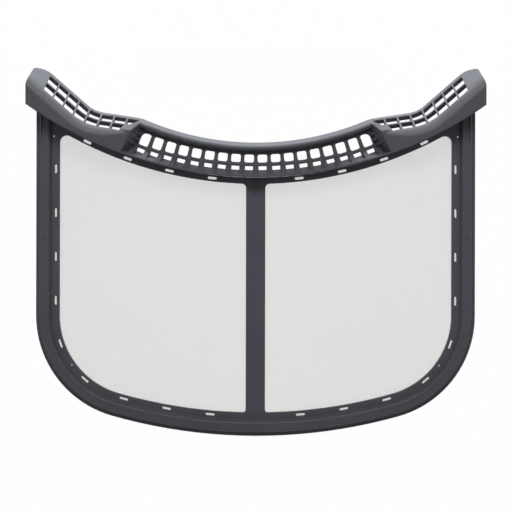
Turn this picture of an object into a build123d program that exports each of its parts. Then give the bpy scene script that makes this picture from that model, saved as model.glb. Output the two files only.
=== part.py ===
from build123d import *
from math import asin, atan2, cos, degrees, radians, sin, sqrt, tan
import os

# Dryer lint filter lying on its back: X across, Y towards the handle, Z out of the front face.

# Whole object
OVERALL_HEIGHT = 351.0
HANDLE_WIDTH = 431.0
HANDLE_DEPTH = 28.0

# Screen frame outline
FRAME_WIDTH = 420.0
CORNER_R = 100.0
BOTTOM_R = 505.0
BAND_WIDTH = 22.2
CENTRE_BAR_WIDTH = 18.3
WINDOW_TOP_FALL = 4.2
WINDOW_OUTER_R = 6.5
WINDOW_BAR_TOP_R = 4.5
WINDOW_BAR_FOOT_R = 2.8

# Screen frame section
LIP_WIDTH = 4.2
LIP_DEPTH = 3.6
RAIL_WIDTH = 9.0
RAIL_DEPTH = 9.0
STEP_RUN = 2.0
FLANGE_DEPTH = 5.0
CHANNEL_WALL = 2.0
CHANNEL_FLOOR = 2.2
CHANNEL_RIB_PITCH = 31.5
CHANNEL_RIB_WIDTH = 1.6
EDGE_BEVEL = 0.7

# Clamp slots, pin holes and witness marks of the frame
SLOT_LENGTH = 8.6
SLOT_WIDTH = 2.6
SLOT_BEVEL = 0.7
SLOT_INSET = 18.7
SLOT_PITCH = 42.0
SLOT_FIRST = 43.3
SLOT_LAST_CLEAR = 30.0
TOP_SLOT_PITCH = 41.7
TOP_SLOT_RISE = 3.1
PIN_HOLE_D = 2.0
PIN_HOLE_RUN = 188.2
PIN_HOLE_INSET = 16.7
PIN_HOLE_DROP = 25.5
WITNESS_D = 2.6
WITNESS_DEPTH = 0.4
WITNESS_RISE = 72.7
GROOVE_WIDTH = 3.0
GROOVE_LENGTH = 52.0
GROOVE_DEPTH = 1.5
SPINE_WIDTH = 1.2
SPINE_LENGTH = 16.5
SPINE_SET = 0.6
SPINE_HEIGHT = 1.0

# Lint screen sheet, opened by a coarse grid
SCREEN_THICKNESS = 0.4
SCREEN_BACK = 2.3
SCREEN_INSET = 15.2
SCREEN_TOP_RISE = 5.6
GRID_COLUMNS = 6
GRID_OPEN_SHARE = 0.65

# Handle outline: skirt curve, grip arc, gentle shoulder, knee, steep wing, cut corner
HANDLE_DROP = 105.5
SKIRT_RISE = 68.5
SKIRT_DRAFT = 6.0
GRIP_RISE = 35.4
KNEE_DROP = 40.3
GENTLE_ANGLE = 8.6
GENTLE_RUN = 46.0
STEEP_ANGLE = 41.0
SHOULDER_R = 30.0
KNEE_R = 30.0
TIP_FLAT = 10.0
TIP_CORNER_R = 2.5
CORNER_RUN = 4.6
CORNER_DROP = 18.0
WING_END_R = 10.0

# Handle roof and walls
ROOF_REAR_DEPTH = 2.5
ROOF_ANGLE = 51.0
ROOF_THICKNESS = 4.4
WALL = 2.2
RIDGE_R = 9.0
NOSE_R = 2.7

# Finger recess, with heights above the lowest point of the skirt
RECESS_FLOOR = 2.5
RECESS_LIP_DEPTH = 21.0
RECESS_END_SET = 3.6
RECESS_END_RUN = 6.5
RECESS_TOP_SET = 8.9
RECESS_BASE_RISE = 8.7
RECESS_LIP_RISE = 2.7
RECESS_CORNER_R = 5.0
FRONT_STEP_SET = 6.0
FRONT_STEP_RUN = 21.5
GRIP_CORE_SET = 3.2
GRIP_CORE_WIDTH = 3.2
GRIP_CORE_DEPTH = 4.6

# Recess vents, slots under them, ledge ribs and end ribs
VENT_PITCH = 12.5
VENT_WIDTH = 9.1
VENT_TOP_SET = 11.45
VENT_FOOT_RISE = 16.3
VENT_BEVEL = 1.2
LOW_VENT_WIDTH = 7.6
LOW_VENT_TOP_RISE = 12.8
LOW_VENT_FOOT_RISE = 9.0
LEDGE_RIB_WIDTH = 4.6
LEDGE_RIB_DEPTH = 19.0
END_RIBS = 3
END_RIB_WIDTH = 2.4
END_RIB_RUN = 2.2

# Lattice of the wing roof, sizes as seen from the front
CELL_ROWS = 2
CELL_PITCH = 12.46
CELL_RIB = 1.7
CELL_HEIGHT = 6.2
CELL_ROW_PITCH = 7.2
CELL_REAR_SET = 2.6
CELL_LEAN = 11.5
CELL_END_LEAN = 60.0
CELL_END_LEAN_STEP = 25.0
LATTICE_TIP_SET = 11.4

# Snap tongues between frame and handle
TONGUE_WIDTH = 14.0
TONGUE_LENGTH = 11.0
TONGUE_DEPTH = 2.2
TONGUE_LIFT = 0.8
TONGUE_BARB = 1.0
TONGUE_OUTER_SET = 27.0
TONGUE_INNER_SET = 68.0
FIT_CLEARANCE = 0.2

# Placements worked out from the sizes
HALF_HEIGHT = OVERALL_HEIGHT / 2
HALF_FRAME = FRAME_WIDTH / 2
HALF_HANDLE = HANDLE_WIDTH / 2
HALF_BAR = CENTRE_BAR_WIDTH / 2
FAR = OVERALL_HEIGHT + HANDLE_WIDTH
BOTTOM_Y = BOTTOM_R - HALF_HEIGHT
CORNER_X = HALF_FRAME - CORNER_R
CORNER_Y = BOTTOM_Y - sqrt((BOTTOM_R - CORNER_R) ** 2 - CORNER_X**2)
CORNER_TURN = asin(CORNER_X / (BOTTOM_R - CORNER_R))
SKIRT_LOW = HALF_HEIGHT - HANDLE_DROP
SKIRT_RUN = HANDLE_DEPTH * tan(radians(SKIRT_DRAFT))
TOP_R = (HALF_HANDLE**2 + SKIRT_RISE**2) / (2 * SKIRT_RISE)
FRAME_TOP_LOW = SKIRT_LOW + (HANDLE_DEPTH - RAIL_DEPTH) * tan(radians(SKIRT_DRAFT)) - FIT_CLEARANCE
WINDOW_TOP_LOW = SKIRT_LOW - WINDOW_TOP_FALL
GENTLE = radians(GENTLE_ANGLE)
STEEP = radians(STEEP_ANGLE)
TIP_X = HALF_HANDLE - CORNER_RUN
TIP_TURN = atan2(CORNER_DROP, CORNER_RUN)
TIP_R = 0.95 * (TIP_FLAT - TIP_CORNER_R * tan(TIP_TURN / 2)) / tan(STEEP / 2)
KNEE_X = TIP_X - TIP_FLAT - KNEE_DROP / tan(STEEP)
KNEE_Y = HALF_HEIGHT - KNEE_DROP
SHOULDER_X = KNEE_X - GENTLE_RUN * cos(GENTLE)
SHOULDER_Y = KNEE_Y - GENTLE_RUN * sin(GENTLE)
GRIP_LOW = SKIRT_LOW + GRIP_RISE
GRIP_R = (SHOULDER_X**2 + (SHOULDER_Y - GRIP_LOW) ** 2) / (2 * (SHOULDER_Y - GRIP_LOW))
GRIP_Y = GRIP_LOW + GRIP_R
ROOF_RISE = tan(radians(ROOF_ANGLE))
ROOF_TAPER = 90.0 - ROOF_ANGLE
ROOF_SET = ROOF_THICKNESS / sin(radians(ROOF_ANGLE))
RECESS_R = GRIP_R + RECESS_TOP_SET
RECESS_TURN = asin(SHOULDER_X / GRIP_R) - RECESS_END_SET / GRIP_R
RECESS_HALF = RECESS_R * sin(RECESS_TURN)
RECESS_BASE_LOW = SKIRT_LOW + RECESS_BASE_RISE
RECESS_LIP_LOW = SKIRT_LOW + RECESS_LIP_RISE
LIP_HALF = RECESS_HALF + RECESS_END_RUN + FRONT_STEP_SET
VENT_HEAD = GRIP_R + VENT_TOP_SET
VENT_TURN = VENT_PITCH / VENT_HEAD
VENT_COUNT = int(2 * RECESS_TURN / VENT_TURN)
VENT_FOOT_LOW = SKIRT_LOW + VENT_FOOT_RISE
LOW_VENT_TOP_LOW = SKIRT_LOW + LOW_VENT_TOP_RISE
LOW_VENT_FOOT_LOW = SKIRT_LOW + LOW_VENT_FOOT_RISE
RIB_HEAD_LOW = (VENT_FOOT_LOW + LOW_VENT_TOP_LOW) / 2
LATTICE_END = KNEE_DROP / sin(STEEP) - LATTICE_TIP_SET
CELL_MIDDLE = CELL_REAR_SET + (CELL_ROW_PITCH * (CELL_ROWS - 1) + CELL_HEIGHT) / 2
CELLS_FIRST_ROW = int((LATTICE_END + GENTLE_RUN + CELL_MIDDLE * (STEEP - GENTLE)) / CELL_PITCH)


def arc_height(low: float, x: float) -> float:
    """Y of the shared top curve at x when its lowest point is at low."""
    return low + TOP_R - sqrt(TOP_R**2 - x**2)


def depth_share(depth: float) -> float:
    """How far a depth lies from the recess floor towards the recess lip."""
    return (depth - RECESS_FLOOR) / (RECESS_LIP_DEPTH - RECESS_FLOOR)


def ray_to_arc(low: float, turn: float, shift: float = 0.0) -> float:
    """Distance to the shared top curve along a ray of the grip centre, moved sideways by shift."""
    start_x = shift * cos(turn)
    start_y = GRIP_Y + shift * sin(turn) - low - TOP_R
    along = start_x * sin(turn) - start_y * cos(turn)
    return sqrt(along**2 - start_x**2 - start_y**2 + TOP_R**2) - along


def grip_point(radius: float, turn: float, shift: float = 0.0) -> Vector:
    """Point at a radius and turn about the grip centre, moved sideways by shift."""
    x = radius * sin(turn) + shift * cos(turn)
    y = GRIP_Y - radius * cos(turn) + shift * sin(turn)
    return Vector(x, y)


def steep_point(distance: float) -> Vector:
    """Point on the steep line of the wing at a distance outward from the knee."""
    return Vector(KNEE_X + distance * cos(STEEP), KNEE_Y + distance * sin(STEEP))


def frame_region(inset: float, top_low: float) -> Sketch:
    """Frame outline moved inward, closed above by the shared top curve."""
    side = HALF_FRAME - inset
    corner = CORNER_R - inset
    bottom = BOTTOM_R - inset
    foot = Vector(bottom * sin(CORNER_TURN), BOTTOM_Y - bottom * cos(CORNER_TURN))
    bend = (radians(90) - CORNER_TURN) / 2
    elbow = Vector(CORNER_X + corner * cos(bend), CORNER_Y - corner * sin(bend))
    with BuildSketch(mode=Mode.PRIVATE) as region:
        with BuildLine():
            top_right = (side, arc_height(top_low, side))
            top_left = (-side, arc_height(top_low, side))
            ThreePointArc(top_left, (0, top_low), top_right)
            Line(top_right, (side, CORNER_Y))
            ThreePointArc((side, CORNER_Y), elbow, foot)
            ThreePointArc(foot, (0, BOTTOM_Y - bottom), (-foot.X, foot.Y))
            ThreePointArc((-foot.X, foot.Y), (-elbow.X, elbow.Y), (-side, CORNER_Y))
            Line((-side, CORNER_Y), top_left)
        make_face()
    return region.sketch


def band_path(inset: float, distance: float) -> Location:
    """Place on the right half of the frame band, measured along it from the bottom centre."""
    bottom = BOTTOM_R - inset
    corner = CORNER_R - inset
    first = bottom * CORNER_TURN
    second = first + corner * (radians(90) - CORNER_TURN)
    if distance < first:
        turn = distance / bottom
        return Location((bottom * sin(turn), BOTTOM_Y - bottom * cos(turn), 0), (0, 0, degrees(turn)))
    if distance < second:
        turn = CORNER_TURN + (distance - first) / corner
        place = (CORNER_X + corner * sin(turn), CORNER_Y - corner * cos(turn), 0)
        return Location(place, (0, 0, degrees(turn)))
    return Location((HALF_FRAME - inset, CORNER_Y + distance - second, 0), (0, 0, 90))


def band_length(inset: float) -> float:
    """Length of one half of the frame band, from the bottom centre to its upper end."""
    bend = (CORNER_R - inset) * (radians(90) - CORNER_TURN)
    straight = arc_height(WINDOW_TOP_LOW, HALF_FRAME - BAND_WIDTH) - CORNER_Y
    return (BOTTOM_R - inset) * CORNER_TURN + bend + straight


def top_path(low: float, distance: float) -> Location:
    """Place on the shared top curve, measured along it from the centre."""
    turn = distance / TOP_R
    return Location((TOP_R * sin(turn), low + TOP_R - TOP_R * cos(turn), 0), (0, 0, degrees(turn)))


# Screen frame: lip, raised U-shaped rail, recessed flange, two windows
with BuildPart() as screen_frame:
    with BuildSketch():
        add(frame_region(0, FRAME_TOP_LOW))
    extrude(amount=LIP_DEPTH)
    with BuildSketch():
        add(frame_region(LIP_WIDTH, FRAME_TOP_LOW))
    extrude(amount=FLANGE_DEPTH)
    with BuildSketch():
        add(frame_region(LIP_WIDTH, FRAME_TOP_LOW))
    extrude(amount=RAIL_DEPTH)
    with BuildSketch(Plane.XY.offset(FLANGE_DEPTH)):
        add(frame_region(LIP_WIDTH + RAIL_WIDTH + STEP_RUN, FRAME_TOP_LOW + FAR))
    with BuildSketch(Plane.XY.offset(RAIL_DEPTH)):
        add(frame_region(LIP_WIDTH + RAIL_WIDTH, FRAME_TOP_LOW + FAR))
    loft(ruled=True, mode=Mode.SUBTRACT)
    rail_top = screen_frame.faces().filter_by(Axis.Z).sort_by(Axis.Z)[-1]
    chamfer(rail_top.edges().filter_by(lambda edge: edge.length > CORNER_R / 2), EDGE_BEVEL)

    # Windows
    with BuildSketch() as windows:
        add(frame_region(BAND_WIDTH, WINDOW_TOP_LOW))
        Rectangle(CENTRE_BAR_WIDTH, FAR * 2, mode=Mode.SUBTRACT)
        bar_corners = windows.vertices().filter_by_position(Axis.X, -HALF_BAR - 1, HALF_BAR + 1)
        fillet(bar_corners.filter_by_position(Axis.Y, -FAR, 0), WINDOW_BAR_FOOT_R)
        bar_tops = windows.vertices().filter_by_position(Axis.X, -HALF_BAR - 0.1, HALF_BAR + 0.1)
        fillet(bar_tops.filter_by_position(Axis.Y, 0, FAR), WINDOW_BAR_TOP_R)
        fillet(windows.vertices().group_by(Axis.Y)[-1], WINDOW_OUTER_R)
    extrude(amount=RAIL_DEPTH, mode=Mode.SUBTRACT)

    # Short spine on the head of the centre bar
    with BuildSketch(Plane.XY.offset(FLANGE_DEPTH)):
        with Locations((0, FRAME_TOP_LOW - SPINE_SET)):
            Rectangle(SPINE_WIDTH, SPINE_LENGTH, align=(Align.CENTER, Align.MAX))
    extrude(amount=SPINE_HEIGHT)

    # Clamp slots and pin holes through the flange
    slot_run = band_length(SLOT_INSET) - SLOT_LAST_CLEAR - SLOT_FIRST
    slot_count = int(slot_run / SLOT_PITCH) + 1
    slot_places = [band_path(SLOT_INSET, SLOT_FIRST + SLOT_PITCH * k) for k in range(slot_count)]
    top_low = WINDOW_TOP_LOW + TOP_SLOT_RISE
    top_run = TOP_R * asin((HALF_FRAME - BAND_WIDTH) / TOP_R) - SLOT_LENGTH
    top_count = int(top_run / TOP_SLOT_PITCH)
    top_places = [top_path(top_low, TOP_SLOT_PITCH * (k + 1)) for k in range(top_count)]
    with BuildSketch(mode=Mode.PRIVATE) as clamp_slot:
        Rectangle(SLOT_LENGTH, SLOT_WIDTH)
        chamfer(clamp_slot.vertices(), SLOT_BEVEL)
    pin_x = HALF_FRAME - PIN_HOLE_INSET
    pin_y = arc_height(FRAME_TOP_LOW, HALF_FRAME) - PIN_HOLE_DROP
    with BuildSketch():
        with Locations(*slot_places, *top_places):
            add(clamp_slot.sketch)
        with Locations(band_path(SLOT_INSET, PIN_HOLE_RUN), Location((pin_x, pin_y, 0))):
            Circle(PIN_HOLE_D / 2)
        mirror(about=Plane.YZ)
    extrude(amount=RAIL_DEPTH, mode=Mode.SUBTRACT)

    # Witness dimples and tapered lead-in grooves on the rail face
    rail_x = HALF_FRAME - LIP_WIDTH - RAIL_WIDTH / 2
    witness_y = CORNER_Y + WITNESS_RISE
    with BuildSketch(Plane.XY.offset(RAIL_DEPTH)):
        with Locations((-rail_x, witness_y), (rail_x, witness_y)):
            Circle(WITNESS_D / 2)
    extrude(amount=-WITNESS_DEPTH, mode=Mode.SUBTRACT)
    groove_x = HALF_FRAME - LIP_WIDTH - GROOVE_WIDTH
    groove_top = arc_height(FRAME_TOP_LOW, groove_x) + GROOVE_WIDTH
    for side in (-1, 1):
        with BuildSketch(Plane.YZ.offset(side * groove_x)):
            with BuildLine():
                Polyline(
                    (groove_top, RAIL_DEPTH),
                    (groove_top - GROOVE_LENGTH, RAIL_DEPTH),
                    (groove_top, RAIL_DEPTH - GROOVE_DEPTH),
                    close=True,
                )
            make_face()
        extrude(amount=GROOVE_WIDTH / 2, both=True, mode=Mode.SUBTRACT)

    # Channel behind the rail, left bridged by cross ribs
    rib_inset = LIP_WIDTH + RAIL_WIDTH / 2
    rib_count = int(band_length(rib_inset) / CHANNEL_RIB_PITCH)
    rib_places = [band_path(rib_inset, CHANNEL_RIB_PITCH * (k + 0.5)) for k in range(rib_count)]
    with BuildSketch(mode=Mode.PRIVATE) as channel_ribs:
        with Locations(*rib_places):
            Rectangle(CHANNEL_RIB_WIDTH, RAIL_WIDTH)
        mirror(about=Plane.YZ)
    with BuildSketch():
        add(frame_region(LIP_WIDTH + CHANNEL_WALL, FRAME_TOP_LOW - CHANNEL_WALL))
        add(frame_region(LIP_WIDTH + RAIL_WIDTH - CHANNEL_WALL, FRAME_TOP_LOW + FAR), mode=Mode.SUBTRACT)
        add(channel_ribs.sketch, mode=Mode.SUBTRACT)
    extrude(amount=RAIL_DEPTH - CHANNEL_FLOOR, mode=Mode.SUBTRACT)

    # Slot that the screen is moulded into
    with BuildSketch(Plane.XY.offset(SCREEN_BACK)):
        add(frame_region(SCREEN_INSET, WINDOW_TOP_LOW + SCREEN_TOP_RISE))
    extrude(amount=SCREEN_THICKNESS, mode=Mode.SUBTRACT)

    # Snap tongues reaching up behind the handle
    tongue_turns = [asin((HALF_FRAME - inset) / TOP_R) for inset in (TONGUE_OUTER_SET, TONGUE_INNER_SET)]
    right_tongues = [top_path(FRAME_TOP_LOW, TOP_R * turn) for turn in tongue_turns]
    left_tongues = [top_path(FRAME_TOP_LOW, -TOP_R * turn) for turn in tongue_turns]
    tongue_places = right_tongues + left_tongues
    with BuildSketch(Plane.XY.offset(TONGUE_LIFT)):
        with Locations(*tongue_places):
            Rectangle(TONGUE_WIDTH, TONGUE_LENGTH * 2)
        add(frame_region(SCREEN_INSET / 2, FRAME_TOP_LOW - FIT_CLEARANCE), mode=Mode.SUBTRACT)
    extrude(amount=TONGUE_DEPTH)
    with BuildSketch(Plane.XY.offset(TONGUE_LIFT + TONGUE_DEPTH)):
        for place in tongue_places:
            with Locations(place * Location((0, TONGUE_LENGTH - TONGUE_BARB, 0))):
                Rectangle(TONGUE_WIDTH, TONGUE_BARB * 2)
    extrude(amount=TONGUE_BARB)

# Lint screen: one sheet passing behind the centre bar, its edge held in the flange
grid_pitch = (HALF_FRAME - BAND_WIDTH - HALF_BAR) / GRID_COLUMNS
grid_open = grid_pitch * GRID_OPEN_SHARE
grid_foot = BAND_WIDTH - HALF_HEIGHT
grid_rows = int((arc_height(WINDOW_TOP_LOW, HALF_FRAME - BAND_WIDTH) - grid_foot) / grid_pitch)
grid_area = frame_region(BAND_WIDTH + grid_open / 2, WINDOW_TOP_LOW - grid_open / 2).faces()[0]
with BuildPart() as lint_screen:
    with BuildSketch(Plane.XY.offset(SCREEN_BACK)):
        add(frame_region(SCREEN_INSET, WINDOW_TOP_LOW + SCREEN_TOP_RISE))
    extrude(amount=SCREEN_THICKNESS)
    with BuildSketch(Plane.XY.offset(SCREEN_BACK)):
        for column in range(GRID_COLUMNS):
            for row in range(grid_rows):
                place = Vector(HALF_BAR + grid_pitch * (column + 0.5), grid_foot + grid_pitch * (row + 0.5))
                if grid_area.is_inside(place):
                    with Locations(place):
                        Rectangle(grid_open, grid_open)
        mirror(about=Plane.YZ)
    extrude(amount=SCREEN_THICKNESS, mode=Mode.SUBTRACT)


def rear_side(grow: float) -> Sketch:
    """Everything behind the rear edge of the handle roof, grown into the handle by grow."""
    tip = steep_point(FAR)
    with BuildSketch(mode=Mode.PRIVATE) as region:
        with BuildLine():
            ThreePointArc((-SHOULDER_X, SHOULDER_Y), (0, GRIP_LOW), (SHOULDER_X, SHOULDER_Y))
            Polyline((SHOULDER_X, SHOULDER_Y), (KNEE_X, KNEE_Y), tip, (tip.X, FAR * 2))
            Line((tip.X, FAR * 2), (-tip.X, FAR * 2))
            Polyline((-tip.X, FAR * 2), (-tip.X, tip.Y), (-KNEE_X, KNEE_Y), (-SHOULDER_X, SHOULDER_Y))
        make_face()
        shoulders = region.vertices().filter_by_position(Axis.Y, SHOULDER_Y - 0.1, SHOULDER_Y + 0.1)
        fillet(shoulders, SHOULDER_R)
        knees = region.vertices().filter_by_position(Axis.Y, KNEE_Y - 0.1, KNEE_Y + 0.1)
        fillet(knees, KNEE_R)
        if grow:
            offset(amount=grow)
    return region.sketch


def under_roof(grow: float) -> Part:
    """All space in front of the handle roof, drawn back from it by grow."""
    with BuildPart(mode=Mode.PRIVATE) as space:
        with BuildSketch():
            Rectangle(FAR * 2, FAR * 2)
            add(rear_side(grow), mode=Mode.SUBTRACT)
        extrude(amount=ROOF_REAR_DEPTH)
        with BuildSketch(Plane.XY.offset(ROOF_REAR_DEPTH)):
            Rectangle(FAR * 2, FAR * 2)
            add(rear_side(grow), mode=Mode.SUBTRACT)
        extrude(amount=HANDLE_DEPTH, taper=ROOF_TAPER)
    return space.part


def handle_outline() -> Sketch:
    """Outline of the handle seen from the front."""
    end_low = SKIRT_LOW + SKIRT_RISE
    end_high = HALF_HEIGHT - CORNER_DROP
    with BuildSketch(mode=Mode.PRIVATE) as region:
        with BuildLine():
            Polyline((HALF_HANDLE, end_low), (HALF_HANDLE, end_high), (TIP_X, HALF_HEIGHT))
            Line((TIP_X, HALF_HEIGHT), (-TIP_X, HALF_HEIGHT))
            Polyline((-TIP_X, HALF_HEIGHT), (-HALF_HANDLE, end_high), (-HALF_HANDLE, end_low))
            ThreePointArc((-HALF_HANDLE, end_low), (0, SKIRT_LOW), (HALF_HANDLE, end_low))
        make_face()
        add(rear_side(0), mode=Mode.SUBTRACT)
        fillet(region.vertices().filter_by(lambda corner: abs(abs(corner.X) - TIP_X) < 0.1), TIP_CORNER_R)
        tops = region.vertices().filter_by(lambda corner: abs(corner.X) < TIP_X - TIP_FLAT / 2)
        fillet(tops.group_by(Axis.Y)[-1], TIP_R)
        ends = region.vertices().filter_by_position(Axis.Y, end_high - 0.1, end_high + 0.1)
        fillet(ends, WING_END_R)
    return region.sketch


def skirt_side(grow: float) -> Sketch:
    """Everything below the skirt edge of the handle."""
    reach = HALF_HANDLE * 1.2
    with BuildSketch(mode=Mode.PRIVATE) as region:
        with BuildLine():
            left = (-reach, arc_height(SKIRT_LOW, reach))
            right = (reach, arc_height(SKIRT_LOW, reach))
            ThreePointArc(left, (0, SKIRT_LOW), right)
            Polyline(right, (reach, -FAR), (-reach, -FAR), left)
        make_face()
        if grow:
            offset(amount=grow)
    return region.sketch


def front_step(drop: float) -> Part:
    """Space in front of the skirt where it steps back to the finger recess."""
    lip = RECESS_LIP_DEPTH - drop
    face = HANDLE_DEPTH - drop
    top = HANDLE_DEPTH + FAR
    step_half = LIP_HALF + FRONT_STEP_RUN
    with BuildPart(mode=Mode.PRIVATE) as step:
        with BuildSketch(Plane.XZ):
            with BuildLine():
                Polyline(
                    (-LIP_HALF, lip),
                    (LIP_HALF, lip),
                    (step_half, face),
                    (step_half, top),
                    (-step_half, top),
                    (-step_half, face),
                    close=True,
                )
            make_face()
        extrude(amount=FAR, both=True)
    return step.part


def recess_wedge(depth: float, grow: float) -> Sketch:
    """Ends and ledge of the finger recess at a depth, left open under the grip bar."""
    shift = RECESS_END_RUN * depth_share(depth) + grow
    low = RECESS_BASE_LOW + (RECESS_LIP_LOW - RECESS_BASE_LOW) * depth_share(depth) - grow
    head = grip_point(GRIP_R, RECESS_TURN, shift)
    foot = grip_point(ray_to_arc(low, RECESS_TURN, shift), RECESS_TURN, shift)
    with BuildSketch(mode=Mode.PRIVATE) as region:
        with BuildLine():
            Polyline((-foot.X, foot.Y), (-head.X, head.Y), head, foot)
            ThreePointArc(foot, (0, low), (-foot.X, foot.Y))
        make_face()
    return region.sketch


def recess_floor(grow: float) -> Sketch:
    """Outline of the recess floor that its vents keep to, with rounded upper corners."""
    with BuildSketch(mode=Mode.PRIVATE) as region:
        add(recess_wedge(RECESS_FLOOR, grow))
        with Locations((0, GRIP_Y)):
            Circle(RECESS_R - grow, mode=Mode.SUBTRACT)
        fillet(region.vertices().group_by(Axis.Y)[-1], RECESS_CORNER_R)
    return region.sketch


def grip_bar_side(grow: float) -> Part:
    """Everything behind the recess: the grip bar's front wall and rounded nose, taken on past its roof."""
    wall = RECESS_R - grow
    slope = radians(ROOF_ANGLE)
    run = NOSE_R / tan((radians(90) - slope) / 2)
    tip = Vector(wall, ROOF_REAR_DEPTH + RECESS_TOP_SET * ROOF_RISE)
    wall_end = tip - Vector(0, run)
    roof_end = tip - Vector(cos(slope), sin(slope)) * run
    centre = wall_end - Vector(NOSE_R, 0)
    crown = centre + (tip - centre).normalized() * NOSE_R
    past = roof_end + Vector(-sin(slope), cos(slope)) * NOSE_R
    with BuildPart(mode=Mode.PRIVATE) as side:
        with BuildSketch(Plane(origin=(0, GRIP_Y, 0), x_dir=(0, 1, 0), z_dir=(1, 0, 0))):
            with BuildLine():
                Polyline(past, (wall / 2, past.Y), (wall / 2, -NOSE_R), (wall, -NOSE_R), wall_end)
                ThreePointArc(wall_end, crown, roof_end)
                Line(roof_end, past)
            make_face()
        revolve(axis=Axis((0, GRIP_Y, 0), (0, 0, 1)), revolution_arc=360)
    return side.part


def recess_space(base: float, grow: float) -> Part:
    """Finger recess from a base depth outward, with its ramped ledge and slanted ends."""
    top = HANDLE_DEPTH + 1
    with BuildPart(mode=Mode.PRIVATE) as space:
        with BuildSketch(Plane.XY.offset(base)):
            add(recess_wedge(base, grow))
        with BuildSketch(Plane.XY.offset(top)):
            add(recess_wedge(top, grow))
        loft(ruled=True)
        add(grip_bar_side(grow), mode=Mode.SUBTRACT)
    return space.part


def vent_outline(height: float) -> Sketch:
    """Outline of one recess vent, with its corners bevelled."""
    with BuildSketch(mode=Mode.PRIVATE) as vent:
        Rectangle(VENT_WIDTH, height)
        chamfer(vent.vertices(), VENT_BEVEL)
    return vent.sketch


def wing_point(distance: float, inward: float) -> Vector:
    """Point of the right wing roof seen from the front, from the outer lattice end along the rear edge."""
    bend = STEEP - GENTLE
    leg = KNEE_R * tan(bend / 2)
    middle = KNEE_R + CELL_MIDDLE
    first = LATTICE_END - leg
    second = first + middle * bend
    if distance < first:
        place = steep_point(LATTICE_END - distance)
        return place + Vector(sin(STEEP), -cos(STEEP)) * inward
    turn = max(GENTLE, STEEP - (distance - first) / middle)
    centre = steep_point(leg) + Vector(-sin(STEEP), cos(STEEP)) * KNEE_R
    place = centre + Vector(sin(turn), -cos(turn)) * (KNEE_R + inward)
    past = max(0.0, distance - second)
    return place - Vector(cos(GENTLE), sin(GENTLE)) * past


def wing_inward(distance: float) -> Vector:
    """Direction straight into the wing roof seen from the front."""
    return wing_point(distance, 1) - wing_point(distance, 0)


def rib_step(distance: float, run: float, lean: float) -> Vector:
    """Step along a leaning lattice rib that goes a run further into the roof."""
    along = Vector(sin(radians(lean)), -cos(radians(lean)))
    return along * (run / along.dot(wing_inward(distance)))


def cell_corners(index: int, row: int) -> list:
    """Corners of one lattice cell of the right wing seen from the front."""
    near = CELL_PITCH * index + CELL_RIB / 2
    far = CELL_PITCH * (index + 1) - CELL_RIB / 2
    rise = CELL_REAR_SET + CELL_ROW_PITCH * row - CELL_MIDDLE
    lean = CELL_LEAN
    if index == CELLS_FIRST_ROW - row - 1:
        lean = CELL_END_LEAN - CELL_END_LEAN_STEP * row
    near_top = wing_point(near, CELL_MIDDLE) + rib_step(near, rise, CELL_LEAN)
    far_top = wing_point(far, CELL_MIDDLE) + rib_step(far, rise, CELL_LEAN)
    near_foot = near_top + rib_step(near, CELL_HEIGHT, CELL_LEAN)
    far_foot = far_top + rib_step(far, CELL_HEIGHT, lean)
    return [near_top, far_top, far_foot, near_foot]


def cell_plane(index: int, row: int) -> Plane:
    """Plane of the roof at the middle of one lattice cell of the right wing."""
    inward = CELL_REAR_SET + CELL_HEIGHT / 2 + CELL_ROW_PITCH * row
    distance = CELL_PITCH * (index + 0.5)
    into = wing_inward(distance)
    slope = radians(ROOF_ANGLE)
    middle = wing_point(distance, inward)
    origin = Vector(middle.X, middle.Y, ROOF_REAR_DEPTH + inward * ROOF_RISE)
    normal = Vector(-into.X * sin(slope), -into.Y * sin(slope), cos(slope))
    return Plane(origin=origin, x_dir=(-into.Y, into.X, 0), z_dir=normal)


def cell_outline(index: int, row: int) -> list:
    """Corners of one lattice cell laid onto its roof plane."""
    into = wing_inward(CELL_PITCH * (index + 0.5))
    origin = cell_plane(index, row).origin
    spans = [corner - Vector(origin.X, origin.Y) for corner in cell_corners(index, row)]
    fall = cos(radians(ROOF_ANGLE))
    return [(span.Y * into.X - span.X * into.Y, -span.dot(into) / fall) for span in spans]


def on_ridge(edge: Edge) -> bool:
    """Whether an edge is where the roof turns into the front face."""
    middle = edge @ 0.5
    run = (edge @ 1) - (edge @ 0)
    clear = middle.Y > arc_height(SKIRT_LOW, middle.X) + RIDGE_R / 2
    wing = LIP_HALF < abs(middle.X) < HALF_HANDLE - RIDGE_R / 2
    return clear and wing and middle.Z > RECESS_LIP_DEPTH and abs(run.X) > RIDGE_R / 2


# Handle: outer form, hollow wings, finger recess, vents and lattice
with BuildPart(mode=Mode.PRIVATE) as wing_hollow:
    with BuildSketch():
        add(handle_outline())
        offset(amount=-WALL, kind=Kind.INTERSECTION)
    extrude(amount=HANDLE_DEPTH - WALL)
    add(under_roof(ROOF_SET), mode=Mode.INTERSECT)
    with BuildSketch():
        add(skirt_side(WALL + SKIRT_RUN))
    extrude(amount=HANDLE_DEPTH, taper=SKIRT_DRAFT, mode=Mode.SUBTRACT)
    add(front_step(WALL), mode=Mode.SUBTRACT)
    add(recess_space(0, WALL), mode=Mode.SUBTRACT)
    with BuildSketch():
        Rectangle(RECESS_HALF * 2, FAR * 2)
    extrude(amount=HANDLE_DEPTH, mode=Mode.SUBTRACT)

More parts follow.
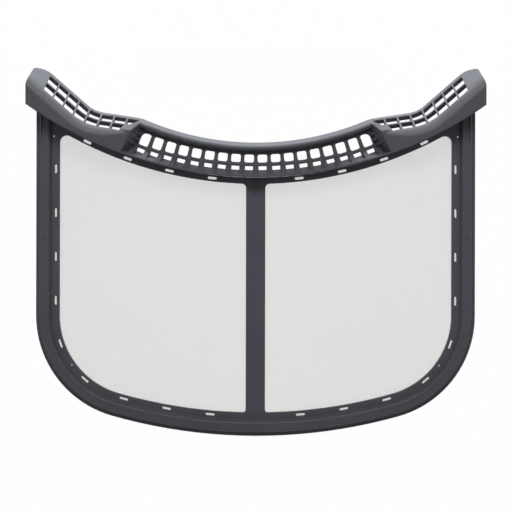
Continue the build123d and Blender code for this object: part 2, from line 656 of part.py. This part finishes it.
with BuildPart(mode=Mode.PRIVATE) as ledge_ribs:
    rib_toe_low = RECESS_BASE_LOW + (RECESS_LIP_LOW - RECESS_BASE_LOW) * depth_share(LEDGE_RIB_DEPTH)
    for k in range(VENT_COUNT + 1):
        turn = (k - VENT_COUNT / 2) * VENT_TURN
        ray = Vector(sin(turn), -cos(turn))
        rib_plane = Plane(origin=(0, GRIP_Y, 0), x_dir=ray, z_dir=(-cos(turn), -sin(turn), 0))
        head = ray_to_arc(RIB_HEAD_LOW, turn)
        toe = ray_to_arc(rib_toe_low, turn)
        with BuildSketch(rib_plane):
            with BuildLine():
                Polyline((head, 0), (head, RECESS_FLOOR), (toe, LEDGE_RIB_DEPTH), (toe, 0), close=True)
            make_face()
        extrude(amount=LEDGE_RIB_WIDTH / 2, both=True)

with BuildPart(mode=Mode.PRIVATE) as end_ribs:
    wall_run = RECESS_END_RUN * depth_share(LEDGE_RIB_DEPTH)
    wall_length = ray_to_arc(RIB_HEAD_LOW, RECESS_TURN) - RECESS_R
    for k in range(END_RIBS):
        foot = grip_point(RECESS_R + wall_length * (k + 1) / END_RIBS, RECESS_TURN)
        across = (cos(RECESS_TURN), sin(RECESS_TURN), 0)
        rib_plane = Plane(origin=foot, x_dir=across, z_dir=(sin(RECESS_TURN), -cos(RECESS_TURN), 0))
        with BuildSketch(rib_plane):
            with BuildLine():
                Polyline(
                    (-END_RIB_RUN, 0),
                    (-END_RIB_RUN, RECESS_FLOOR),
                    (wall_run, LEDGE_RIB_DEPTH),
                    (wall_run, 0),
                    close=True,
                )
            make_face()
        extrude(amount=END_RIB_WIDTH / 2, both=True)
    mirror(about=Plane.YZ)

with BuildPart() as handle_grille:
    with BuildSketch():
        add(handle_outline())
    extrude(amount=HANDLE_DEPTH)
    add(under_roof(0), mode=Mode.INTERSECT)
    with BuildSketch():
        add(skirt_side(SKIRT_RUN))
    extrude(amount=HANDLE_DEPTH, taper=SKIRT_DRAFT, mode=Mode.SUBTRACT)
    add(front_step(0), mode=Mode.SUBTRACT)
    fillet(handle_grille.edges().filter_by(on_ridge), RIDGE_R)
    add(recess_space(RECESS_FLOOR, 0) - ledge_ribs.part - end_ribs.part, mode=Mode.SUBTRACT)
    add(wing_hollow.part, mode=Mode.SUBTRACT)

    # Groove that cores out the grip bar from behind
    core_near = GRIP_R + GRIP_CORE_SET
    core_far = core_near + GRIP_CORE_WIDTH
    with BuildSketch():
        with BuildLine():
            near = [grip_point(core_near, turn) for turn in (-RECESS_TURN, 0, RECESS_TURN)]
            far = [grip_point(core_far, turn) for turn in (RECESS_TURN, 0, -RECESS_TURN)]
            ThreePointArc(*near)
            Line(near[2], far[0])
            ThreePointArc(*far)
            Line(far[2], near[0])
        make_face()
    extrude(amount=GRIP_CORE_DEPTH, mode=Mode.SUBTRACT)

    # Vents through the recess floor, kept inside its rounded outline, and a slot under each
    vent_turns = [(k - (VENT_COUNT - 1) / 2) * VENT_TURN for k in range(VENT_COUNT)]
    with BuildSketch():
        for turn in vent_turns:
            foot = ray_to_arc(VENT_FOOT_LOW, turn)
            place = grip_point((VENT_HEAD + foot) / 2, turn)
            with Locations(Location((place.X, place.Y, 0), (0, 0, degrees(turn)))):
                add(vent_outline(foot - VENT_HEAD))
        add(recess_floor(RECESS_TOP_SET - VENT_TOP_SET), mode=Mode.INTERSECT)
        for turn in vent_turns:
            head = ray_to_arc(LOW_VENT_TOP_LOW, turn)
            foot = ray_to_arc(LOW_VENT_FOOT_LOW, turn)
            place = grip_point((head + foot) / 2, turn)
            with Locations(Location((place.X, place.Y, 0), (0, 0, degrees(turn)))):
                Rectangle(LOW_VENT_WIDTH, foot - head)
    extrude(amount=RECESS_FLOOR, mode=Mode.SUBTRACT)

    # Notches that let the frame's snap tongues in
    with BuildSketch():
        with Locations(*tongue_places):
            Rectangle(TONGUE_WIDTH + FIT_CLEARANCE * 2, TONGUE_LENGTH * 2 + FIT_CLEARANCE * 2)
    extrude(amount=TONGUE_LIFT + TONGUE_DEPTH + TONGUE_BARB + FIT_CLEARANCE, mode=Mode.SUBTRACT)

# Lattice cells, cut square to the roof on one wing and mirrored to the other
with BuildPart(mode=Mode.PRIVATE) as lattice_cells:
    for row in range(CELL_ROWS):
        for index in range(CELLS_FIRST_ROW - row):
            with BuildSketch(cell_plane(index, row)):
                with BuildLine():
                    Polyline(*cell_outline(index, row), close=True)
                make_face()
            extrude(amount=ROOF_THICKNESS + WALL, both=True)
    mirror(about=Plane.YZ)

with handle_grille:
    add(lattice_cells.part, mode=Mode.SUBTRACT)

handle_grille.part.label = "handle_grille"
screen_frame.part.label = "screen_frame"
lint_screen.part.label = "lint_screen"
export_step(screen_frame.part, "parts/screen_frame.step")
export_step(lint_screen.part, "parts/lint_screen.step")
export_step(handle_grille.part, "parts/handle_grille.step")
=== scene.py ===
"""Looks of a dryer lint filter: dark satin plastic frame and handle, fine woven screen."""

import logging
import math
from dataclasses import dataclass
from enum import Enum

import bmesh
import bpy
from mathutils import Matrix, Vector


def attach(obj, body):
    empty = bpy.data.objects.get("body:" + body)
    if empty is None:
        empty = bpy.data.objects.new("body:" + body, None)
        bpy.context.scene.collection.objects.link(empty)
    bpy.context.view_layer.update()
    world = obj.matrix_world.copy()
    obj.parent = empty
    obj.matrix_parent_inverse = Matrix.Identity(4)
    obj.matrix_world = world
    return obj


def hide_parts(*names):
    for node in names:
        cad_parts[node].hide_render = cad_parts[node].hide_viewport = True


log = logging.getLogger("lint_filter")

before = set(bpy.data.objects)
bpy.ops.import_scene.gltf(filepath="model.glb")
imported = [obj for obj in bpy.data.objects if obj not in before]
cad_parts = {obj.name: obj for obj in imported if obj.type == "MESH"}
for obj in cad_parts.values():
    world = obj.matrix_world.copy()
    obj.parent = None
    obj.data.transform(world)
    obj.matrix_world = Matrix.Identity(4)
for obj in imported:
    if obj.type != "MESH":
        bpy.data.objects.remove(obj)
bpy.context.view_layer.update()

Colour = tuple[float, float, float]
Point = tuple[float, float, float]

HANDLE_EDGE_RADIUS = 0.0022


class ThreadRun(Enum):
    """Which way a screen thread runs."""

    ACROSS = "across"
    ALONG = "along"


def add_node(tree: bpy.types.NodeTree, kind: str, **values: object) -> bpy.types.Node:
    """Add a node and set its input sockets by name.

    Args:
        tree: node tree that takes the node.
        kind: Blender's node type name.
        values: input values, with underscores standing for the spaces in socket names.

    Returns:
        The new node.
    """
    node = tree.nodes.new(kind)
    for name, value in values.items():
        node.inputs[name.replace("_", " ")].default_value = value
    return node


def math_node(tree: bpy.types.NodeTree, operation: str, first: object, second: object) -> bpy.types.Node:
    """Add a math node fed by sockets or numbers.

    Args:
        tree: node tree that takes the node.
        operation: Blender's operation name.
        first: a socket or a number.
        second: a socket or a number.

    Returns:
        The math node.
    """
    node = tree.nodes.new("ShaderNodeMath")
    node.operation = operation
    for index, value in enumerate((first, second)):
        if isinstance(value, (int, float)):
            node.inputs[index].default_value = value
        else:
            tree.links.new(value, node.inputs[index])
    return node


def add_group(tree: bpy.types.NodeTree, group: bpy.types.NodeTree, **values: float) -> bpy.types.Node:
    """Add a shared node group to a material and set its inputs by name.

    Args:
        tree: node tree that takes the group.
        group: the shared node group.
        values: input values, with underscores standing for the spaces in socket names.

    Returns:
        The group node.
    """
    node = tree.nodes.new("ShaderNodeGroup")
    node.node_tree = group
    for name, value in values.items():
        node.inputs[name.replace("_", " ")].default_value = value
    return node


def add_mix(tree: bpy.types.NodeTree, first: Colour, second: Colour) -> bpy.types.Node:
    """Add a colour mix between two set colours.

    Args:
        tree: node tree that takes the node.
        first: colour at a factor of 0.
        second: colour at a factor of 1.

    Returns:
        The mix node.
    """
    mix = tree.nodes.new("ShaderNodeMix")
    mix.data_type = "RGBA"
    mix.inputs["A"].default_value = (*first, 1.0)
    mix.inputs["B"].default_value = (*second, 1.0)
    return mix


class MouldedSkinGroup:
    """Node group: the fine spark-eroded grain and soft flow mottling of a moulded plastic skin."""

    name = "moulded skin"
    inputs = (("Grain Size", 900.0), ("Mottle Size", 14.0), ("Roughness", 0.4), ("Spread", 0.06))
    outputs = ("Shade", "Roughness", "Height")
    mottle_low, mottle_middle, mottle_high = 0.3, 0.5, 0.7
    shade_low, shade_high = 0.94, 1.06

    def build(self) -> bpy.types.NodeTree:
        """Make the group, or return the one already made.

        Returns:
            The shader node group.
        """
        if self.name in bpy.data.node_groups:
            return bpy.data.node_groups[self.name]
        group = bpy.data.node_groups.new(self.name, "ShaderNodeTree")
        for label, usual in self.inputs:
            socket = group.interface.new_socket(label, in_out="INPUT", socket_type="NodeSocketFloat")
            socket.default_value = usual
        for label in self.outputs:
            group.interface.new_socket(label, in_out="OUTPUT", socket_type="NodeSocketFloat")
        links = group.links
        given = group.nodes.new("NodeGroupInput")
        result = group.nodes.new("NodeGroupOutput")
        place = group.nodes.new("ShaderNodeTexCoord")
        grain = add_node(group, "ShaderNodeTexNoise", Detail=3.0, Roughness=0.6)
        mottle = add_node(group, "ShaderNodeTexNoise", Detail=4.0, Roughness=0.55)
        links.new(place.outputs["Object"], grain.inputs["Vector"])
        links.new(place.outputs["Object"], mottle.inputs["Vector"])
        links.new(given.outputs["Grain Size"], grain.inputs["Scale"])
        links.new(given.outputs["Mottle Size"], mottle.inputs["Scale"])
        shade = add_node(
            group,
            "ShaderNodeMapRange",
            From_Min=self.mottle_low,
            From_Max=self.mottle_high,
            To_Min=self.shade_low,
            To_Max=self.shade_high,
        )
        links.new(mottle.outputs["Fac"], shade.inputs["Value"])
        centred = math_node(group, "SUBTRACT", mottle.outputs["Fac"], self.mottle_middle)
        spread = math_node(group, "MULTIPLY", centred.outputs[0], given.outputs["Spread"])
        rough = math_node(group, "ADD", spread.outputs[0], given.outputs["Roughness"])
        links.new(shade.outputs["Result"], result.inputs["Shade"])
        links.new(rough.outputs[0], result.inputs["Roughness"])
        links.new(grain.outputs["Fac"], result.inputs["Height"])
        return group


class HandlingGroup:
    """Node group: a mask of the faint, cloudy dust that a used part carries."""

    name = "handling marks"
    inputs = (("Amount", 0.3), ("Size", 60.0))
    cloud_low, cloud_high = 0.45, 0.75

    def build(self) -> bpy.types.NodeTree:
        """Make the group, or return the one already made.

        Returns:
            The shader node group.
        """
        if self.name in bpy.data.node_groups:
            return bpy.data.node_groups[self.name]
        group = bpy.data.node_groups.new(self.name, "ShaderNodeTree")
        for label, usual in self.inputs:
            socket = group.interface.new_socket(label, in_out="INPUT", socket_type="NodeSocketFloat")
            socket.default_value = usual
        group.interface.new_socket("Mask", in_out="OUTPUT", socket_type="NodeSocketFloat")
        given = group.nodes.new("NodeGroupInput")
        result = group.nodes.new("NodeGroupOutput")
        place = group.nodes.new("ShaderNodeTexCoord")
        cloud = add_node(group, "ShaderNodeTexNoise", Detail=6.0, Roughness=0.65, Distortion=0.4)
        group.links.new(place.outputs["Object"], cloud.inputs["Vector"])
        group.links.new(given.outputs["Size"], cloud.inputs["Scale"])
        ramp = add_node(group, "ShaderNodeMapRange", From_Min=self.cloud_low, From_Max=self.cloud_high)
        group.links.new(cloud.outputs["Fac"], ramp.inputs["Value"])
        mask = math_node(group, "MULTIPLY", ramp.outputs["Result"], given.outputs["Amount"])
        group.links.new(mask.outputs[0], result.inputs["Mask"])
        return group


@dataclass(frozen=True)
class SatinPlastic:
    """Dark grey moulded plastic with a satin skin and softened edges."""

    name: str
    colour: Colour = (0.0745, 0.078, 0.092)
    dust_colour: Colour = (0.19, 0.19, 0.19)
    roughness: float = 0.5
    spread: float = 0.08
    grain_size: float = 1400.0
    grain_strength: float = 0.05
    grain_depth: float = 0.0002
    dust: float = 0.06
    edge_radius: float = 0.0012
    specular: float = 0.4

    def material(self) -> bpy.types.Material:
        """Make the material.

        Returns:
            A node material for the plastic.
        """
        material = bpy.data.materials.new(self.name)
        material.use_nodes = True
        tree = material.node_tree
        shader = tree.nodes["Principled BSDF"]
        shader.inputs["Specular IOR Level"].default_value = self.specular
        skin = add_group(
            tree,
            MouldedSkinGroup().build(),
            Grain_Size=self.grain_size,
            Roughness=self.roughness,
            Spread=self.spread,
        )
        marks = add_group(tree, HandlingGroup().build(), Amount=self.dust)
        tint = add_mix(tree, self.colour, self.dust_colour)
        tree.links.new(marks.outputs["Mask"], tint.inputs["Factor"])
        shade = tree.nodes.new("ShaderNodeMix")
        shade.data_type = "RGBA"
        shade.blend_type = "MULTIPLY"
        shade.inputs["Factor"].default_value = 1.0
        tree.links.new(tint.outputs["Result"], shade.inputs["A"])
        tree.links.new(skin.outputs["Shade"], shade.inputs["B"])
        tree.links.new(shade.outputs["Result"], shader.inputs["Base Color"])
        tree.links.new(skin.outputs["Roughness"], shader.inputs["Roughness"])
        edges = add_node(tree, "ShaderNodeBevel", Radius=self.edge_radius)
        bump = add_node(tree, "ShaderNodeBump", Strength=self.grain_strength, Distance=self.grain_depth)
        tree.links.new(edges.outputs["Normal"], bump.inputs["Normal"])
        tree.links.new(skin.outputs["Height"], bump.inputs["Height"])
        tree.links.new(bump.outputs["Normal"], shader.inputs["Normal"])
        return material


@dataclass(frozen=True)
class ScreenYarn:
    """Off-white monofilament of the woven screen."""

    name: str
    colour: Colour = (0.59, 0.578, 0.545)
    roughness: float = 0.5
    spread: float = 0.1
    sheen: float = 0.1
    dust: float = 0.15
    dust_colour: Colour = (0.52, 0.51, 0.49)

    def material(self) -> bpy.types.Material:
        """Make the material.

        Returns:
            A node material for the yarn.
        """
        material = bpy.data.materials.new(self.name)
        material.use_nodes = True
        tree = material.node_tree
        shader = tree.nodes["Principled BSDF"]
        shader.inputs["Sheen Weight"].default_value = self.sheen
        marks = add_group(tree, HandlingGroup().build(), Amount=self.dust)
        skin = add_group(tree, MouldedSkinGroup().build(), Roughness=self.roughness, Spread=self.spread)
        tint = add_mix(tree, self.colour, self.dust_colour)
        tree.links.new(marks.outputs["Mask"], tint.inputs["Factor"])
        tree.links.new(tint.outputs["Result"], shader.inputs["Base Color"])
        tree.links.new(skin.outputs["Roughness"], shader.inputs["Roughness"])
        return material


@dataclass
class PlasticPiece:
    """A moulded plastic piece that keeps its CAD shape and takes a finish."""

    node: str
    finish: SatinPlastic

    def dress(self) -> bpy.types.Object:
        """Give the piece its finish.

        Returns:
            The CAD object.
        """
        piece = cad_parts[self.node]
        material = self.finish.material()
        if not piece.material_slots:
            piece.data.materials.append(material)
        for place in piece.material_slots:
            place.material = material
        return piece


@dataclass
class LintScreen:
    """The woven screen, as straight threads laid both ways across the U-shaped sheet."""

    finish: ScreenYarn
    half_width: float = 0.1948
    corner_radius: float = 0.0848
    bottom_radius: float = 0.4898
    bottom_centre: float = 0.3295
    corner_centre: tuple[float, float] = (0.110, -0.060276)
    top_radius: float = 0.37323
    top_low: float = 0.0714
    back: float = 0.0023
    thickness: float = 0.0004
    yarn: float = 0.00014
    pitch: float = 0.00058
    sides: int = 6
    halvings: int = 40

    def foot(self, x: float) -> float:
        """Find the sheet's lower edge.

        Args:
            x: place across the sheet.

        Returns:
            Y of the lower edge at x.
        """
        reach = abs(x)
        centre_x, centre_y = self.corner_centre
        tangent = self.bottom_radius * centre_x / (self.bottom_radius - self.corner_radius)
        if reach <= tangent:
            return self.bottom_centre - math.sqrt(self.bottom_radius**2 - reach**2)
        rise = max(self.corner_radius**2 - (reach - centre_x) ** 2, 0.0)
        return centre_y - math.sqrt(rise)

    def head(self, x: float) -> float:
        """Find the sheet's upper edge.

        Args:
            x: place across the sheet.

        Returns:
            Y of the upper edge at x.
        """
        return self.top_low + self.top_radius - math.sqrt(self.top_radius**2 - x**2)

    def reach(self, y: float) -> float:
        """Find how far the sheet reaches to each side.

        Args:
            y: place along the sheet.

        Returns:
            Half width at y, from the lower edge.
        """
        if y >= self.corner_centre[1]:
            return self.half_width
        low, high = 0.0, self.half_width
        for _ in range(self.halvings):
            middle = (low + high) / 2
            if self.foot(middle) < y:
                low = middle
            else:
                high = middle
        return low

    def gap(self, y: float) -> float:
        """Find how much of a level line lies above the curved upper edge.

        Args:
            y: place along the sheet.

        Returns:
            Half width of that part, or 0 where the line is whole.
        """
        drop = self.top_low + self.top_radius - y
        if drop >= self.top_radius:
            return 0.0
        return math.sqrt(self.top_radius**2 - drop**2)

    def runs(self) -> list[tuple[Vector, Vector, ThreadRun]]:
        """Work out where each thread starts and ends.

        Returns:
            Start, end and run of every thread.
        """
        middle = self.back + self.thickness / 2
        upper = middle + self.yarn / 2
        lower = middle - self.yarn / 2
        threads: list[tuple[Vector, Vector, ThreadRun]] = []
        count = int(self.half_width / self.pitch)
        for index in range(-count, count + 1):
            x = index * self.pitch
            start = Vector((x, self.foot(x), lower))
            end = Vector((x, self.head(x), lower))
            threads.append((start, end, ThreadRun.ALONG))
        level = self.foot(0.0) + self.pitch
        while level < self.head(self.half_width) - self.pitch:
            half = self.reach(level)
            gap = self.gap(level)
            spans = [(-half, half)] if gap == 0.0 else [(-half, -gap), (gap, half)]
            for left, right in spans:
                start = Vector((left, level, upper))
                end = Vector((right, level, upper))
                threads.append((start, end, ThreadRun.ACROSS))
            level += self.pitch
        return threads

    def thread(self, mesh: bmesh.types.BMesh, start: Vector, end: Vector, run: ThreadRun) -> None:
        """Add one closed thread to the mesh.

        Args:
            mesh: mesh that takes the thread.
            start: middle of its first end.
            end: middle of its last end.
            run: which way it runs.
        """
        radius = self.yarn / 2
        side = Vector((1, 0, 0)) if run is ThreadRun.ALONG else Vector((0, 1, 0))
        rings = []
        for centre in (start, end):
            ring = []
            for corner in range(self.sides):
                angle = 2 * math.pi * (corner + 0.5) / self.sides
                offset = side * (radius * math.cos(angle)) + Vector((0, 0, radius * math.sin(angle)))
                ring.append(mesh.verts.new(centre + offset))
            rings.append(ring)
        for corner in range(self.sides):
            following = (corner + 1) % self.sides
            mesh.faces.new((rings[0][corner], rings[0][following], rings[1][following], rings[1][corner]))
        mesh.faces.new(rings[0][::-1])
        mesh.faces.new(rings[1])

    def build(self) -> bpy.types.Object:
        """Weave the screen and set it in place of the plain sheet.

        Returns:
            The screen object.
        """
        threads = bmesh.new()
        for start, end, run in self.runs():
            self.thread(threads, start, end, run)
        bmesh.ops.recalc_face_normals(threads, faces=threads.faces)
        screen = place_mesh("woven_screen", threads, self.finish.material())
        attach(screen, "root")
        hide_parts("lint_screen")
        return screen


def place_mesh(name: str, shape: bmesh.types.BMesh, material: bpy.types.Material) -> bpy.types.Object:
    """Turn a working mesh into an object of the scene and free it.

    Args:
        name: name of the object and its mesh.
        shape: the working mesh.
        material: its finish.

    Returns:
        The new object.
    """
    data = bpy.data.meshes.new(name)
    shape.to_mesh(data)
    shape.free()
    data.materials.append(material)
    placed = bpy.data.objects.new(name, data)
    bpy.context.scene.collection.objects.link(placed)
    return placed


@dataclass(frozen=True)
class Lamp:
    """One soft rectangular lamp."""

    name: str
    place: Point
    target: Point
    size: tuple[float, float]
    power: float
    colour: Colour = (1.0, 1.0, 1.0)
    in_sheen: bool = True

    def hang(self) -> bpy.types.Object:
        """Hang the lamp.

        Returns:
            The lamp object.
        """
        data = bpy.data.lights.new(self.name, "AREA")
        data.shape = "RECTANGLE"
        data.size, data.size_y = self.size
        data.energy = self.power
        data.color = self.colour
        lamp = bpy.data.objects.new(self.name, data)
        lamp.location = self.place
        aim = Vector(self.target) - Vector(self.place)
        lamp.rotation_euler = aim.to_track_quat("-Z", "Y").to_euler()
        lamp.visible_glossy = self.in_sheen
        bpy.context.scene.collection.objects.link(lamp)
        return lamp


LAMPS = (
    Lamp("top_softbox", (0.0, 0.95, 1.05), (0.0, 0.05, 0.0), (1.2, 0.5), 10.0),
    Lamp(
        "rear_strip",
        (0.0, 2.2, 0.025),
        (0.0, 0.12, 0.02),
        (1.2, 0.05),
        182.0,
        colour=(1.0, 0.98, 0.92),
        in_sheen=False,
    ),
    Lamp("front_fill", (0.0, -1.3, 0.55), (0.0, 0.0, 0.0), (1.6, 0.5), 3.0),
    Lamp("side_softbox_-1", (-0.75, 0.05, 0.45), (-0.2, 0.0, 0.0), (0.4, 0.6), 0.6),
    Lamp("side_softbox_+1", (0.75, 0.05, 0.45), (0.2, 0.0, 0.0), (0.4, 0.6), 0.6),
)


@dataclass(frozen=True)
class Flag:
    """One upright dark card that cuts the low rear light."""

    half: float
    low: float
    back: float


@dataclass
class Studio:
    """Pale floor, soft lamps, dark cards and the camera that looks straight at the front face."""

    floor_size: float = 6.0
    floor_drop: float = 0.0003
    floor_colour: Colour = (0.86, 0.86, 0.86)
    floor_roughness: float = 0.9
    floor_glow: float = 0.985
    bar_flag: Flag = Flag(half=0.105, low=0.0088, back=0.2)
    wing_flag: Flag = Flag(half=0.7, low=0.0256, back=0.6)
    flag_high: float = 0.05
    flag_colour: Colour = (0.02, 0.02, 0.02)
    air_colour: Colour = (1.0, 1.0, 1.0)
    air_strength: float = 0.2
    view_width: float = 0.4894
    distance: float = 1.03
    face_depth: float = 0.005
    aim: tuple[float, float] = (0.0004, -0.0033)
    sensor: float = 36.0
    roll: float = 0.13

    def floor(self) -> bpy.types.Object:
        """Lay the floor, which the camera sees as near white with the object's shadow kept.

        Returns:
            The floor object.
        """
        half = self.floor_size / 2
        slab = bmesh.new()
        corners = [(-half, -half), (half, -half), (half, half), (-half, half)]
        slab.faces.new([slab.verts.new((x, y, -self.floor_drop)) for x, y in corners])
        floor = place_mesh("studio_floor", slab, self.floor_material())
        return floor

    def floor_material(self) -> bpy.types.Material:
        """Make the floor's finish.

        Returns:
            A plain pale material that glows near white to the camera and in reflections.
        """
        material = bpy.data.materials.new("studio_paper")
        material.use_nodes = True
        tree = material.node_tree
        shader = tree.nodes["Principled BSDF"]
        shader.inputs["Roughness"].default_value = self.floor_roughness
        shader.inputs["Base Color"].default_value = (*self.floor_colour, 1.0)
        glow = add_node(tree, "ShaderNodeEmission", Strength=1.0)
        rays = tree.nodes.new("ShaderNodeLightPath")
        seen = math_node(tree, "MAXIMUM", rays.outputs["Is Camera Ray"], rays.outputs["Is Glossy Ray"])
        seen = math_node(tree, "MAXIMUM", seen.outputs[0], rays.outputs["Is Transmission Ray"])
        share = math_node(tree, "MULTIPLY", seen.outputs[0], self.floor_glow)
        mix = tree.nodes.new("ShaderNodeMixShader")
        tree.links.new(share.outputs[0], mix.inputs["Fac"])
        tree.links.new(shader.outputs["BSDF"], mix.inputs[1])
        tree.links.new(glow.outputs["Emission"], mix.inputs[2])
        tree.links.new(mix.outputs["Shader"], tree.nodes["Material Output"].inputs["Surface"])
        return material

    def flag(self) -> bpy.types.Object:
        """Stand two dark cards: one shades the finger recess, one softens the light on the wings.

        Returns:
            The cards as one object, which the camera doesn't see.
        """
        cards = bmesh.new()
        for card in (self.bar_flag, self.wing_flag):
            low, high = card.low, self.flag_high
            corners = [(-card.half, low), (card.half, low), (card.half, high), (-card.half, high)]
            cards.faces.new([cards.verts.new((x, card.back, z)) for x, z in corners])
        material = bpy.data.materials.new("flag_cloth")
        material.use_nodes = True
        shader = material.node_tree.nodes["Principled BSDF"]
        shader.inputs["Base Color"].default_value = (*self.flag_colour, 1.0)
        flag = place_mesh("studio_flag", cards, material)
        flag.visible_camera = False
        flag.visible_glossy = False
        return flag

    def lights(self) -> None:
        """Hang the lamps and set the soft fill of the world."""
        for lamp in LAMPS:
            lamp.hang()
        world = bpy.data.worlds.new("studio_air")
        world.use_nodes = True
        air = world.node_tree.nodes["Background"]
        air.inputs["Color"].default_value = (*self.air_colour, 1.0)
        air.inputs["Strength"].default_value = self.air_strength
        bpy.context.scene.world = world

    def camera(self) -> None:
        """Set the camera square to the front face, rolled as slightly as the photograph is."""
        data = bpy.data.cameras.new("front_camera")
        data.sensor_fit = "HORIZONTAL"
        data.sensor_width = self.sensor
        data.lens = self.sensor * self.distance / self.view_width
        camera = bpy.data.objects.new("front_camera", data)
        camera.location = (*self.aim, self.face_depth + self.distance)
        camera.rotation_euler = (0.0, 0.0, math.radians(self.roll))
        bpy.context.scene.collection.objects.link(camera)
        bpy.context.scene.camera = camera


def main() -> None:
    """Build and dress the filter, then light it."""
    logging.basicConfig(level=logging.INFO, format="%(message)s")
    bpy.context.scene.view_settings.view_transform = "Standard"
    for piece in (
        PlasticPiece("screen_frame", SatinPlastic("frame_plastic")),
        PlasticPiece("handle_grille", SatinPlastic("handle_plastic", edge_radius=HANDLE_EDGE_RADIUS)),
    ):
        log.info("dressed %s", piece.dress().name)
    screen = LintScreen(ScreenYarn("screen_yarn")).build()
    log.info("wove %s with %d faces", screen.name, len(screen.data.polygons))
    studio = Studio()
    log.info("laid %s", studio.floor().name)
    log.info("stood %s", studio.flag().name)
    studio.lights()
    studio.camera()


if __name__ == "__main__":
    main()
